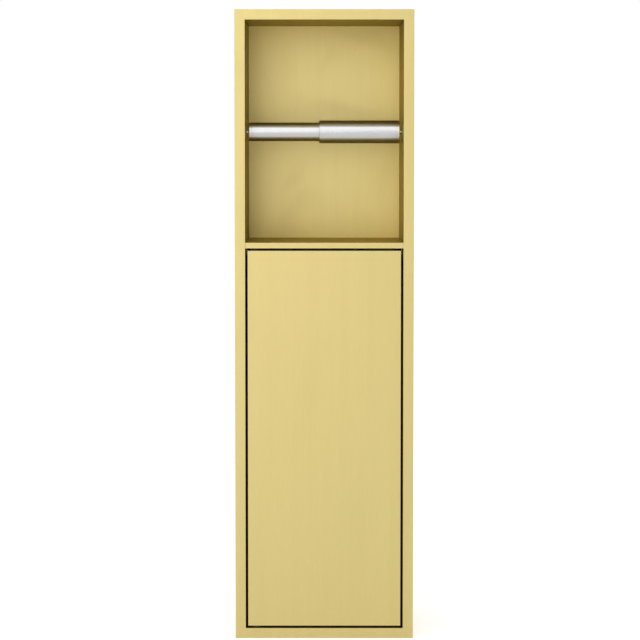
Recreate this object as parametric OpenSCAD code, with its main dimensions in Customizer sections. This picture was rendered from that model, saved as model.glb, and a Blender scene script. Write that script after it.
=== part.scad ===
// Recessed toilet paper holder: an open niche with a telescopic spindle, over a
// bay for spare rolls that a flush push-to-open door closes.
// X runs to the right as the user faces the unit, Y runs into the wall and Z runs up.
// The origin is the middle of the recess, on the surface of the finished wall.

/* [Recess] */
// Width over the border
unit_w = 170; // [150:1:240]
// Height over the border
unit_h = 600; // [540:1:900]
// Depth from the face of the border to the back
unit_depth = 135; // [115:1:180]
// Width of the border on each side
border_w = 10; // [9.5:0.5:16]
// How far the face of the border stands in front of the finished wall
border_proud = 4; // [3:0.5:6]
// Thickness of the folded steel sheet
sheet_t = 1.2; // [0.8:0.1:1.5]
// Width of the foam strip behind the border
seal_w = 4; // [2:0.5:4.5]

/* [Fixing holes] */
// Diameter of the fixing holes in the side walls
fixing_d = 5.5; // [4:0.5:7]
// Distance between the two fixing holes of one side
fixing_spacing = 250; // [150:5:280]
// Distance of the fixing holes from the back
fixing_from_back = 36; // [20:1:60]

/* [Divider] */
// Height of the divider's front edge
divider_h = 5.5; // [5:0.5:12]
// Depth of the folded lip under the divider's front edge
divider_lip = 20; // [14:1:30]
// Height of the flanges that are folded down from the shelf
shelf_flange_h = 12; // [9:1:16]
// Space between the lip and the shelf's side flanges
flange_setback = 10; // [6:1:16]
// Distance of the rivets from the ends of what they hold
rivet_inset = 10; // [6:1:16]
// Diameter of the blind rivets
rivet_d = 3.2; // [2.4:0.2:4]

/* [Spindle] */
// Distance of the spindle's axis behind the face of the border
spindle_depth = 52; // [40:1:70]
// Diameter of the thick tube
thick_d = 22; // [21.5:0.5:30]
// Diameter of the thin tube
thin_d = 18; // [14:0.5:18.5]
// Wall of both tubes
tube_wall = 1; // [0.8:0.1:1.1]
// Length of the thin tube that shows at rest
thin_shows = 68; // [45:1:75]
// Space between each end of the spindle and the side of the niche
end_gap = 2.2; // [1.5:0.1:4]
// Thickness of the caps on the ends of the tubes
cap_t = 2; // [1.5:0.5:4]
// Length of each cap's plug inside its tube
plug_len = 10; // [6:1:12]
// Diameter of the end pins
end_pin_d = 4; // [3:0.5:6]
// Depth of each end pin in the socket behind the side wall
end_pin_grip = 3; // [2:0.5:5]
// Length of the sliding ring in the mouth of the thick tube
ring_len = 20; // [12:1:24]
// Depth of the sliding ring behind the thick tube's mouth
ring_inset = 0.6; // [0.2:0.1:2]
// Wire thickness of the spindle's spring
spindle_wire = 1.2; // [0.8:0.1:1.5]
// Mean diameter of the spindle's spring
spindle_coil_d = 13; // [11:0.5:14]

/* [Door] */
// Height of the bay that the door closes
bay_h = 364; // [330:1:400]
// Gap all round the door
door_gap = 2; // [1.6:0.1:3]
// Thickness of the door
door_t = 12; // [11:0.5:18]
// Thickness of the door's back sheet
back_sheet_t = 1; // [0.6:0.1:1.2]
// Width of the stiffening channel inside the door
stiffener_w = 60; // [40:5:80]
// Thickness of the stiffening channel's sheet
stiffener_t = 0.8; // [0.6:0.1:1.2]
// Width of each foot of the stiffening channel
stiffener_foot = 10; // [6:1:16]
// Thickness of the bumpers on the door's back
bumper_t = 1.2; // [0.8:0.1:2.5]
// Diameter of the bumpers
bumper_d = 8; // [6:0.5:10]
// Distance of the end bumpers from the ends of the stop angle
bumper_from_end = 25; // [15:1:60]
// Width of the angle that the door closes against
stop_w = 12; // [11:0.5:16]

/* [Hinge] */
// Distance of the pivots from the door's hinge edge
pivot_inset = 8; // [7:0.5:12]
// Distance of the pivots behind the door's front
pivot_depth = 5; // [4.8:0.1:5.4]
// Diameter of the hinge pins
hinge_pin_d = 4; // [3:0.5:4.5]
// How far the hinge blocks run past the pivots
block_margin = 10; // [9:0.5:16]
// Distance of the hinge blocks' screws from the ends of the blocks
block_screw_inset = 5; // [4:0.5:6]
// Distance of the hinge blocks' screws from the blocks' free side
block_screw_edge = 3.5; // [3:0.1:4]
// Height of the collar on the upper pin
collar_h = 4; // [3.6:0.2:6]
// Length of the upper pin's spring at rest
pin_spring_len = 17; // [14:1:24]
// Height of the grub screw under the spring
grub_h = 4; // [3:0.5:6]
// Depth of the bore that guides the upper pin
guide_len = 6; // [4:0.5:10]
// Height of the lower hinge block
lower_block_h = 18; // [14:1:30]
// Diameter of the thumb stud
stud_d = 3; // [2:0.2:3.2]
// Diameter of the thumb stud's knob
knob_d = 6; // [5:0.5:8]

/* [Latch] */
// Width and height of the latch housing
latch_s = 12; // [11:0.5:15]
// Length of the latch housing
latch_len = 50; // [44:1:60]
// Diameter of the plunger
plunger_d = 7; // [6:0.2:8]
// Length of the plunger that stays in its bore when it is out
plunger_guide = 9; // [6:1:12]
// Travel of the plunger
latch_travel = 14; // [8:1:16]
// Thickness of the magnet
magnet_t = 2; // [1.5:0.1:2.5]
// Distance of the latch's axis from the side wall
latch_from_side = 17; // [16.5:0.5:24]
// Distance of the latch's axis below the divider
latch_drop = 19; // [17:1:30]
// Thickness of the strike plate
strike_t = 1.5; // [1:0.1:2.5]
// Diameter of the small screws
screw_d = 3; // [2:0.5:3]

/* [Hidden] */
$fn = 64;

// Clearances
run = 0.08;          // radial, a shaft that turns or slides in its bore
fit = 0.05;          // radial, a fixed shank in its hole
press = 0.02;        // radial, a plug that is pressed into its tube
rub = 0.3;           // between pieces that pass each other
end_play = 0.5;      // between a pin's end and the bottom of its bore
over = 1;            // how far a cutting tool runs past the piece that it cuts

// Small fixed shapes
pin_chamfer = 0.5;
cap_chamfer = 0.4;
coil_wire = 0.7;
pin_coil_wire = 0.6;
coil_turns = 8;
spindle_turns = 10;

// Colours
gold = [0.88, 0.79, 0.52];
steel = [0.78, 0.78, 0.79];
zinc = [0.62, 0.64, 0.66];
black = [0.12, 0.12, 0.12];
grey = [0.35, 0.35, 0.36];
clear = [0.85, 0.87, 0.88];

// Levels of the recess
open_w = unit_w - 2 * border_w;
open_h = unit_h - 2 * border_w;
side_x = open_w / 2;
face_y = -border_proud;
back_y = face_y + unit_depth;
inner_back_y = back_y - sheet_t;
floor_z = -open_h / 2;
roof_z = open_h / 2;
divider_bottom_z = floor_z + bay_h;
divider_top_z = divider_bottom_z + divider_h;
shelf_under_z = divider_top_z - sheet_t;

// Levels of the spindle
spindle_y = face_y + spindle_depth;
spindle_z = (divider_top_z + roof_z) / 2;
left_end_x = -side_x + end_gap;
right_end_x = side_x - end_gap;
mouth_x = left_end_x + thin_shows;
ring_end_x = mouth_x + ring_inset + ring_len;
seat_t = 1.5;
seat_plug_len = 6;
seat_end_x = ring_end_x + seat_t;
socket_wall = 2.5;
socket_flange_w = 6;
socket_flange_t = 1.2;
thick_bore_r = thick_d / 2 - tube_wall;
thin_bore_r = thin_d / 2 - tube_wall;
cap_inner_x = right_end_x - cap_t - plug_len;
end_pin_reach = sheet_t + end_pin_grip;

// Levels of the door
door_x = side_x - door_gap;
door_bottom_z = floor_z + door_gap;
door_top_z = divider_bottom_z - door_gap;
door_back_y = face_y + door_t;
skin_back_y = face_y + sheet_t;
sheet_front_y = door_back_y - back_sheet_t;
pan_top_z = door_top_z - sheet_t;
pan_bottom_z = door_bottom_z + sheet_t;

// Levels of the hinge
pivot_x = -door_x + pivot_inset;
pivot_y = face_y + pivot_depth;
hinge_pin_r = hinge_pin_d / 2;
collar_w = 1.2;
bush_wall = 1.5;
bush_flange_w = 0.7;
bush_flange_t = 0.8;
bush_tail = 2;
pin_spare_drop = 0.7;
pin_tail_len = 7;
pin_tail_w = 0.7;
pin_seat_len = 3;
collar_r = hinge_pin_r + collar_w;
bush_r = hinge_pin_r + bush_wall;
bush_flange_r = bush_r + bush_flange_w;
pin_tip_z = shelf_under_z - end_play;
pin_drop = pin_tip_z - door_top_z + pin_spare_drop;
shoulder_z = pan_top_z - guide_len;
collar_z = shoulder_z - collar_h;
spring_floor_z = collar_z - pin_spring_len;
upper_block_z = spring_floor_z - grub_h;
block_x = -door_x + sheet_t;
block_w = pivot_inset - sheet_t + block_margin;
block_screw_x = block_x + block_w - block_screw_edge;
block_screw_len = 5;
lower_block_top_z = pan_bottom_z + lower_block_h;
lower_pin_top_z = lower_block_top_z - pin_seat_len;
lower_bush_end_z = floor_z - sheet_t - bush_tail;
block_screw_zs = [
    pan_bottom_z + block_screw_inset,
    lower_block_top_z - block_screw_inset,
    upper_block_z + block_screw_inset,
    pan_top_z - block_screw_inset,
];
stud_z = shoulder_z - collar_h / 2;
stud_thread_r = stud_d / 2 - 0.4;
stud_slot_r = stud_d / 2 + 0.2;
knob_y = door_back_y + 2 * rub;
knob_t = 3;

// Levels of the latch
latch_x = side_x - latch_from_side;
latch_z = divider_bottom_z - latch_drop;
strike_y = door_back_y + strike_t;
cup_floor = 2;
cup_wall = 1;
cup_t = magnet_t + cup_floor;
cup_r = plunger_d / 2 + cup_wall;
latch_y = strike_y + cup_t + rub;
latch_end_y = latch_y + latch_len;
latch_top_z = latch_z + latch_s / 2;
latch_wall = 3;
plunger_end_y = latch_y + latch_travel + plunger_guide;
ear_room = 1.8;
ear_w = latch_from_side - latch_s / 2 - sheet_t - ear_room;
ear_t = 4;
ear_len = 10;
ear_inset = 2;
ear_x = latch_x + latch_s / 2;
screw_r = screw_d / 2;
screw_x = ear_x + ear_w / 2;
front_screw_y = latch_y + ear_inset + ear_len / 2;
rear_screw_y = latch_end_y - ear_inset - ear_len / 2;
bracket_skirt = 4;
bracket_low_z = latch_z - latch_s / 2 - bracket_skirt;
bracket_rivet_z = (latch_top_z - ear_t + bracket_low_z) / 2;
strike_margin = 3.5;
strike_rivet_x = plunger_d / 2 + 4;
strike_half_w = strike_rivet_x + strike_margin;
strike_half_h = plunger_d / 2 + 1.5;

// Levels of the stop angle
stop_clear = 4;
stop_y = door_back_y + bumper_t;
stop_top_z = bracket_low_z - stop_clear;
bumper_x = (side_x - stop_w + door_x) / 2;

// Levels of the shelf's rivets
rivet_r = rivet_d / 2;
shelf_rivet_z = shelf_under_z - shelf_flange_h / 2;
shelf_flange_y = face_y + divider_lip + flange_setback;
shelf_rivet_front_y = shelf_flange_y + rivet_inset;
shelf_rivet_rear_y = inner_back_y - sheet_t - rivet_inset;

// Box from one corner to the opposite one.
module span(low, high) {
    translate(low) cube(high - low);
}

// Solid or drilled cylinder along X, from x0 to x1, on the axis through y and z.
module rod_x(x0, x1, r, y, z) {
    translate([x0, y, z]) rotate([0, 90, 0]) cylinder(h = x1 - x0, r = r);
}

// The same along Y.
module rod_y(y0, y1, r, x, z) {
    translate([x, y0, z]) rotate([-90, 0, 0]) cylinder(h = y1 - y0, r = r);
}

// The same along Z.
module rod_z(z0, z1, r, x, y) {
    translate([x, y, z0]) cylinder(h = z1 - z0, r = r);
}

// Disc along +Z whose outer edge at the far end is chamfered.
module chamfered_disc(h, r, chamfer) {
    cylinder(h = h - chamfer, r = r);
    translate([0, 0, h - chamfer]) cylinder(h = chamfer, r1 = r, r2 = r - chamfer);
}

// Blind rivet along +Z: its domed head lies under z = 0, and it holds a stack
// of sheets that is grip thick.
module blind_rivet(grip) {
    head_h = rivet_d * 0.35;
    translate([0, 0, -head_h]) cylinder(h = head_h, r1 = rivet_d * 0.7, r2 = rivet_d);
    cylinder(h = grip, r = rivet_r);
    translate([0, 0, grip]) cylinder(h = rivet_d * 0.6, r1 = rivet_r * 1.45, r2 = rivet_r * 1.2);
}

// Cap screw along +Z: its head lies under z = 0 and its shank runs to len.
module pan_screw(len) {
    head_h = screw_d * 0.55;
    difference() {
        translate([0, 0, -head_h]) cylinder(h = head_h, r1 = screw_d * 0.8, r2 = screw_d * 0.95);
        translate([0, 0, -head_h - over]) cylinder(h = head_h * 0.6 + over, r = screw_d * 0.35, $fn = 6);
    }
    cylinder(h = len, r = screw_r);
}

// Height of a spring's wire after a number of turns. The first and the last
// turn lie close to their neighbours, as on a spring with closed ends.
function coil_height(turn, turns, len, wire) =
    let(end_pitch = wire + 0.5)
    let(pitch = (len - wire - 2 * end_pitch) / (turns - 2))
    wire / 2 + (turn < 1 ? end_pitch * turn
        : turn > turns - 1 ? end_pitch + pitch * (turns - 2) + end_pitch * (turn - turns + 1)
        : end_pitch + pitch * (turn - 1));

// Helical compression spring along +Z from z = 0 to len, as one unbroken wire.
module coil_spring(len, mean_d, wire, turns) {
    rings = 12;
    sides = 6;
    steps = rings * turns;
    points = [
        for (i = [0 : steps])
        for (j = [0 : sides - 1])
            let(around = 360 * i / rings)
            let(across = 360 * j / sides)
            let(r = mean_d / 2 + wire / 2 * cos(across))
            let(z = coil_height(i / rings, turns, len, wire) + wire / 2 * sin(across))
            [r * cos(around), r * sin(around), z]
    ];
    skin = [
        for (i = [0 : steps - 1])
        for (j = [0 : sides - 1])
        for (half = [0, 1])
            let(k = (j + 1) % sides)
            half == 0
                ? [i * sides + j, i * sides + k, (i + 1) * sides + k]
                : [i * sides + j, (i + 1) * sides + k, (i + 1) * sides + j]
    ];
    first = [for (j = [sides - 1 : -1 : 0]) j];
    last = [for (j = [0 : sides - 1]) steps * sides + j];
    polyhedron(points = points, faces = concat(skin, [first, last]), convexity = 12);
}

// The four walls, the border that is folded out from them and its return lip.
module housing_sleeve() color(gold) difference() {
    union() {
        span([-side_x - sheet_t, face_y, floor_z - sheet_t],
             [side_x + sheet_t, inner_back_y, roof_z + sheet_t]);
        span([-unit_w / 2, face_y, -unit_h / 2], [unit_w / 2, skin_back_y, unit_h / 2]);
        difference() {
            span([-unit_w / 2, face_y, -unit_h / 2], [unit_w / 2, 0, unit_h / 2]);
            span([-unit_w / 2 + sheet_t, face_y - over, -unit_h / 2 + sheet_t],
                 [unit_w / 2 - sheet_t, over, unit_h / 2 - sheet_t]);
        }
    }
    span([-side_x, face_y - over, floor_z], [side_x, back_y, roof_z]);
    rod_x(-side_x - sheet_t - over, side_x + sheet_t + over, end_pin_d / 2 + rub,
          spindle_y, spindle_z);
    for (side = [-1, 1])
        for (end = [-1, 1])
            rod_x(side * (side_x + sheet_t / 2) - sheet_t, side * (side_x + sheet_t / 2) + sheet_t,
                  fixing_d / 2, inner_back_y - fixing_from_back,
                  (floor_z + divider_bottom_z) / 2 + end * fixing_spacing / 2);
    rod_z(floor_z - sheet_t - over, floor_z + over, bush_r + fit, pivot_x, pivot_y);
    for (y = [shelf_rivet_front_y, shelf_rivet_rear_y])
        rod_x(-side_x - sheet_t - over, side_x + sheet_t + over, rivet_r + fit, y, shelf_rivet_z);
    for (y = [front_screw_y, rear_screw_y])
        rod_x(side_x - over, side_x + sheet_t + over, rivet_r + fit, y, bracket_rivet_z);
}

// Flat sheet that closes the back of the sleeve.
module back_panel() color(gold)
    span([-side_x - sheet_t, inner_back_y, floor_z - sheet_t],
         [side_x + sheet_t, back_y, roof_z + sheet_t]);

// Foam strip in the channel behind the border.
module flange_seal() color(grey) difference() {
    span([-unit_w / 2 + sheet_t, skin_back_y, -unit_h / 2 + sheet_t],
         [unit_w / 2 - sheet_t, 0, unit_h / 2 - sheet_t]);
    span([-unit_w / 2 + sheet_t + seal_w, skin_back_y - over, -unit_h / 2 + sheet_t + seal_w],
         [unit_w / 2 - sheet_t - seal_w, over, unit_h / 2 - sheet_t - seal_w]);
}

// Floor of the niche, with its front edge and lip and the flanges that fix it.
module divider_shelf() color(gold) difference() {
    flange_z = shelf_under_z - shelf_flange_h;
    union() {
        span([-side_x, face_y, shelf_under_z], [side_x, inner_back_y, divider_top_z]);
        span([-side_x, face_y, divider_bottom_z], [side_x, skin_back_y, divider_top_z]);
        span([-side_x, face_y, divider_bottom_z],
             [side_x, face_y + divider_lip, divider_bottom_z + sheet_t]);
        span([-side_x, shelf_flange_y, flange_z], [-side_x + sheet_t, inner_back_y, divider_top_z]);
        span([side_x - sheet_t, shelf_flange_y, flange_z], [side_x, inner_back_y, divider_top_z]);
        span([-side_x, inner_back_y - sheet_t, flange_z], [side_x, inner_back_y, divider_top_z]);
    }
    rod_z(divider_bottom_z - over, divider_bottom_z + sheet_t + over / 2, bush_r + fit,
          pivot_x, pivot_y);
    for (y = [shelf_rivet_front_y, shelf_rivet_rear_y])
        rod_x(-side_x - over, side_x + over, rivet_r + fit, y, shelf_rivet_z);
}

// Blind rivets that join the shelf's flanges to the side walls.
module shelf_rivets() color(zinc)
    for (side = [0, 1])
        for (y = [shelf_rivet_front_y, shelf_rivet_rear_y])
            mirror([side, 0, 0])
                translate([side_x - sheet_t, y, shelf_rivet_z])
                    rotate([0, 90, 0]) blind_rivet(2 * sheet_t);

// Cup behind a side wall that takes an end pin. It opens towards -X.
module spindle_socket() {
    cup_depth = end_pin_grip + end_play;
    difference() {
        union() {
            cylinder(h = socket_flange_t, r = end_pin_d / 2 + socket_flange_w);
            cylinder(h = cup_depth + socket_flange_t, r = end_pin_d / 2 + socket_wall);
        }
        translate([0, 0, -over]) cylinder(h = cup_depth + over, r = end_pin_d / 2 + run);
    }
}

module left_spindle_socket() color(grey)
    translate([-side_x - sheet_t, spindle_y, spindle_z]) rotate([0, -90, 0]) spindle_socket();

module right_spindle_socket() color(grey)
    translate([side_x + sheet_t, spindle_y, spindle_z]) rotate([0, 90, 0]) spindle_socket();

// Flanged bush in the divider's lip, which guides the upper hinge pin.
module upper_pivot_bush() color(black) difference() {
    union() {
        rod_z(divider_bottom_z - bush_flange_t, divider_bottom_z, bush_flange_r,
              pivot_x, pivot_y);
        rod_z(divider_bottom_z - bush_flange_t, shelf_under_z, bush_r, pivot_x, pivot_y);
    }
    rod_z(divider_bottom_z - bush_flange_t - over, shelf_under_z + over, hinge_pin_r + run,
          pivot_x, pivot_y);
}

// Flanged bush in the floor, which carries the door on its flange.
module lower_pivot_bush() color(black) difference() {
    union() {
        rod_z(floor_z, door_bottom_z, bush_flange_r, pivot_x, pivot_y);
        rod_z(lower_bush_end_z, door_bottom_z, bush_r, pivot_x, pivot_y);
    }
    rod_z(lower_bush_end_z - over, door_bottom_z + over, hinge_pin_r + run,
          pivot_x, pivot_y);
}

// Angle on the latch side's wall, which the door's bumpers close against.
module door_stop_angle() color(gold) {
    span([side_x - stop_w, stop_y, floor_z], [side_x, stop_y + sheet_t, stop_top_z]);
    span([side_x - sheet_t, stop_y, floor_z], [side_x, stop_y + stop_w, stop_top_z]);
}

// Angle on the side wall that the latch hangs from.
module latch_bracket() color(zinc) difference() {
    union() {
        span([latch_x - latch_s / 2, latch_y, latch_top_z],
             [side_x, latch_end_y, latch_top_z + sheet_t]);
        span([side_x - sheet_t, latch_y, bracket_low_z],
             [side_x, latch_end_y, latch_top_z + sheet_t]);
    }
    for (y = [front_screw_y, rear_screw_y]) {
        rod_z(latch_top_z - over, latch_top_z + sheet_t + over, screw_r + fit, screw_x, y);
        rod_x(side_x - sheet_t - over, side_x + over, rivet_r + fit, y, bracket_rivet_z);
    }
}

module bracket_rivets() color(zinc)
    for (y = [front_screw_y, rear_screw_y])
        translate([side_x - sheet_t, y, bracket_rivet_z])
            rotate([0, 90, 0]) blind_rivet(2 * sheet_t);

// Latch housing with the plunger's bore, open at the front, and two ears.
module latch_housing() color(black) difference() {
    union() {
        span([latch_x - latch_s / 2, latch_y, latch_z - latch_s / 2],
             [latch_x + latch_s / 2, latch_end_y, latch_top_z]);
        for (y = [front_screw_y, rear_screw_y])
            span([ear_x - over, y - ear_len / 2, latch_top_z - ear_t],
                 [ear_x + ear_w, y + ear_len / 2, latch_top_z]);
    }
    rod_y(latch_y - over, latch_end_y - latch_wall, plunger_d / 2 + run, latch_x, latch_z);
    for (y = [front_screw_y, rear_screw_y])
        rod_z(latch_top_z - ear_t - over, latch_top_z + over, screw_r + fit, screw_x, y);
}

module latch_screws() color(zinc)
    for (y = [front_screw_y, rear_screw_y])
        translate([screw_x, y, latch_top_z + sheet_t])
            rotate([180, 0, 0]) pan_screw(sheet_t + ear_t + 0.5);

// Spring behind the plunger, which drives it out when the door is pressed.
module latch_spring() color(steel)
    translate([latch_x, plunger_end_y, latch_z]) rotate([-90, 0, 0])
        coil_spring(latch_end_y - latch_wall - plunger_end_y, plunger_d - 3 * coil_wire,
                    coil_wire, coil_turns);

// Plunger with the cup that holds the magnet.
module latch_plunger() color(grey) difference() {
    union() {
        rod_y(strike_y + rub, strike_y + cup_t, cup_r, latch_x, latch_z);
        rod_y(strike_y + cup_t, plunger_end_y, plunger_d / 2, latch_x, latch_z);
    }
    rod_y(strike_y - over, strike_y + magnet_t, plunger_d / 2 + fit, latch_x, latch_z);
}

module latch_magnet() color(steel)
    rod_y(strike_y, strike_y + magnet_t, plunger_d / 2, latch_x, latch_z);

// Front sheet of the door with its four folded edges.
module door_front_pan() color(gold) difference() {
    span([-door_x, face_y, door_bottom_z], [door_x, door_back_y, door_top_z]);
    span([-door_x + sheet_t, skin_back_y, pan_bottom_z],
         [door_x - sheet_t, door_back_y + over, pan_top_z]);
    rod_z(pan_top_z - over, door_top_z + over, hinge_pin_r + rub, pivot_x, pivot_y);
    rod_z(door_bottom_z - over, pan_bottom_z + over, hinge_pin_r + rub, pivot_x, pivot_y);
}

// Back sheet of the door, with the slot for the thumb stud.
module door_back_sheet() color(gold) difference() {
    span([-door_x + sheet_t + fit, sheet_front_y, pan_bottom_z + fit],
         [door_x - sheet_t - fit, door_back_y, pan_top_z - fit]);
    stud_slot();
    block_screw_holes();
    for (side = [-1, 1])
        rod_y(sheet_front_y - over, door_back_y + over, rivet_r + fit,
              latch_x + side * strike_rivet_x, latch_z);
}

// Slot that the thumb stud travels in.
module stud_slot() {
    span([pivot_x - stud_slot_r, pivot_y, stud_z - pin_drop],
         [pivot_x + stud_slot_r, knob_y, stud_z]);
    rod_y(pivot_y, knob_y, stud_slot_r, pivot_x, stud_z);
    rod_y(pivot_y, knob_y, stud_slot_r, pivot_x, stud_z - pin_drop);
}

module block_screw_holes()
    for (z = block_screw_zs)
        rod_y(sheet_front_y - block_screw_len, door_back_y + over, screw_r + fit,
              block_screw_x, z);

// Top-hat channel that keeps the door's front flat.
module door_stiffener() color(zinc)
    translate([0, 0, pan_bottom_z + lower_block_h])
        linear_extrude(upper_block_z - pan_bottom_z - lower_block_h)
            difference() {
                union() {
                    translate([-stiffener_w / 2, skin_back_y])
                        square([stiffener_w, sheet_front_y - skin_back_y]);
                    translate([-stiffener_w / 2 - stiffener_foot, sheet_front_y - stiffener_t])
                        square([stiffener_w + 2 * stiffener_foot, stiffener_t]);
                }
                translate([-stiffener_w / 2 + stiffener_t, skin_back_y + stiffener_t])
                    square([stiffener_w - 2 * stiffener_t, door_t]);
            }

// Upper hinge block: a guide bore over the chamber of the pin's spring.
module upper_hinge_block() color(zinc) difference() {
    span([block_x, skin_back_y, upper_block_z], [block_x + block_w, sheet_front_y, pan_top_z]);
    rod_z(shoulder_z - over, pan_top_z + over, hinge_pin_r + run, pivot_x, pivot_y);
    rod_z(upper_block_z - over, shoulder_z, collar_r + run, pivot_x, pivot_y);
    stud_slot();
    block_screw_holes();
}

module lower_hinge_block() color(zinc) difference() {
    span([block_x, skin_back_y, pan_bottom_z],
         [block_x + block_w, sheet_front_y, lower_block_top_z]);
    rod_z(pan_bottom_z - over, lower_pin_top_z, hinge_pin_r + press, pivot_x, pivot_y);
    block_screw_holes();
}

module hinge_block_screws() color(zinc)
    for (z = block_screw_zs)
        translate([block_screw_x, door_back_y, z]) rotate([90, 0, 0])
            pan_screw(back_sheet_t + block_screw_len - end_play);

// Fixed pin under the door, which turns in the lower bush.
module lower_hinge_pin() color(steel)
    translate([pivot_x, pivot_y, lower_pin_top_z]) rotate([180, 0, 0])
        chamfered_disc(lower_pin_top_z - lower_bush_end_z - end_play, hinge_pin_r, pin_chamfer);

// Grub screw that closes the spring's chamber, with a hex socket below.
module spring_grub_screw() color(zinc) difference() {
    rod_z(upper_block_z, spring_floor_z, collar_r + run - press, pivot_x, pivot_y);
    translate([pivot_x, pivot_y, upper_block_z - over])
        cylinder(h = grub_h * 0.6 + over, r = collar_r * 0.5, $fn = 6);
}

// Steel plate that the magnet holds.
module strike_plate() color(zinc) difference() {
    span([latch_x - strike_half_w, door_back_y, latch_z - strike_half_h],
         [latch_x + strike_half_w, strike_y, latch_z + strike_half_h]);
    for (side = [-1, 1])
        rod_y(door_back_y - over, strike_y + over, rivet_r + fit,
              latch_x + side * strike_rivet_x, latch_z);
}

module strike_rivets() color(zinc)
    for (side = [-1, 1])
        translate([latch_x + side * strike_rivet_x, strike_y, latch_z])
            rotate([90, 0, 0]) blind_rivet(strike_t + back_sheet_t);

// Soft dots that meet the stop angle when the door closes.
module door_bumpers() color(clear)
    for (z = [floor_z + bumper_from_end, (floor_z + stop_top_z) / 2, stop_top_z - bumper_from_end])
        rod_y(door_back_y, stop_y, bumper_d / 2, bumper_x, z);

// Sprung pin at the top of the door. Its collar bears on the block's shoulder.
module upper_hinge_pin() color(steel) difference() {
    union() {
        translate([pivot_x, pivot_y, shoulder_z])
            chamfered_disc(pin_tip_z - shoulder_z, hinge_pin_r, pin_chamfer);
        rod_z(collar_z, shoulder_z, collar_r, pivot_x, pivot_y);
        rod_z(collar_z - pin_tail_len, collar_z, hinge_pin_r - pin_tail_w, pivot_x, pivot_y);
    }
    rod_y(pivot_y, pivot_y + collar_r + over, stud_thread_r + fit, pivot_x, stud_z);
}

module upper_pin_spring() color(steel)
    translate([pivot_x, pivot_y, spring_floor_z])
        coil_spring(pin_spring_len, hinge_pin_d + pin_coil_wire, pin_coil_wire, coil_turns);

// Stud that is screwed into the collar, so that a thumb can draw the pin down.
module thumb_stud() color(steel) {
    rod_y(pivot_y + rub, pivot_y + collar_r, stud_thread_r, pivot_x, stud_z);
    rod_y(pivot_y + collar_r, knob_y, stud_d / 2, pivot_x, stud_z);
    translate([pivot_x, knob_y, stud_z]) rotate([-90, 0, 0])
        chamfered_disc(knob_t, knob_d / 2, pin_chamfer);
}

module thick_tube() color(steel) difference() {
    rod_x(mouth_x, right_end_x - cap_t, thick_d / 2, spindle_y, spindle_z);
    rod_x(mouth_x - over, right_end_x, thick_bore_r, spindle_y, spindle_z);
}

// End cap with its plug and its pin, along +Z from the cap's inner face.
module end_cap(d, bore_r) {
    translate([0, 0, -plug_len]) cylinder(h = plug_len, r = bore_r - press);
    chamfered_disc(cap_t, d / 2, cap_chamfer);
    translate([0, 0, cap_t])
        chamfered_disc(end_gap + end_pin_reach, end_pin_d / 2, pin_chamfer);
}

module thick_end_cap() color(steel)
    translate([right_end_x - cap_t, spindle_y, spindle_z]) rotate([0, 90, 0])
        end_cap(thick_d, thick_bore_r);

// Nylon ring in the thick tube's mouth that the thin tube slides in.
module sliding_ring() color(black) difference() {
    rod_x(mouth_x + ring_inset, ring_end_x, thick_bore_r - press, spindle_y, spindle_z);
    rod_x(mouth_x, ring_end_x + over, thin_d / 2 + run, spindle_y, spindle_z);
}

module spindle_spring() color(steel)
    translate([seat_end_x, spindle_y, spindle_z]) rotate([0, 90, 0])
        coil_spring(cap_inner_x - seat_end_x, spindle_coil_d, spindle_wire, spindle_turns);

module thin_tube() color(steel) difference() {
    rod_x(left_end_x + cap_t, ring_end_x, thin_d / 2, spindle_y, spindle_z);
    rod_x(left_end_x, ring_end_x + over, thin_bore_r, spindle_y, spindle_z);
}

module thin_end_cap() color(steel)
    translate([left_end_x + cap_t, spindle_y, spindle_z]) rotate([0, -90, 0])
        end_cap(thin_d, thin_bore_r);

// Plug in the thin tube's inner end. Its flange is the stop behind the ring.
module spring_seat() color(zinc) {
    rod_x(ring_end_x - seat_plug_len, ring_end_x, thin_bore_r - press, spindle_y, spindle_z);
    rod_x(ring_end_x, seat_end_x, thick_bore_r - rub, spindle_y, spindle_z);
}

housing_sleeve();
back_panel();
flange_seal();
divider_shelf();
shelf_rivets();
left_spindle_socket();
right_spindle_socket();
upper_pivot_bush();
lower_pivot_bush();
door_stop_angle();
latch_bracket();
bracket_rivets();
latch_housing();
latch_screws();
latch_spring();
latch_plunger();
latch_magnet();
door_front_pan();
door_back_sheet();
door_stiffener();
upper_hinge_block();
lower_hinge_block();
hinge_block_screws();
lower_hinge_pin();
spring_grub_screw();
strike_plate();
strike_rivets();
door_bumpers();
upper_hinge_pin();
upper_pin_spring();
thumb_stud();
thick_tube();
thick_end_cap();
sliding_ring();
spindle_spring();
thin_tube();
thin_end_cap();
spring_seat();
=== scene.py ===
# %% [markdown]
# # A recessed toilet paper holder
# The object is a tall box of folded gold-coloured steel that is let into a wall. Its upper
# part is an open niche with a spring-loaded spindle, and a flush door closes the bay below.
# The solid model already fixes every size. This lesson dresses it: it loads that model,
# sets up a studio, mixes the finishes, and then makes each piece again with the rounded
# folds, turned edges and domed rivet heads that the plain solids leave out.

# %% Load the frame
import math

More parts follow.
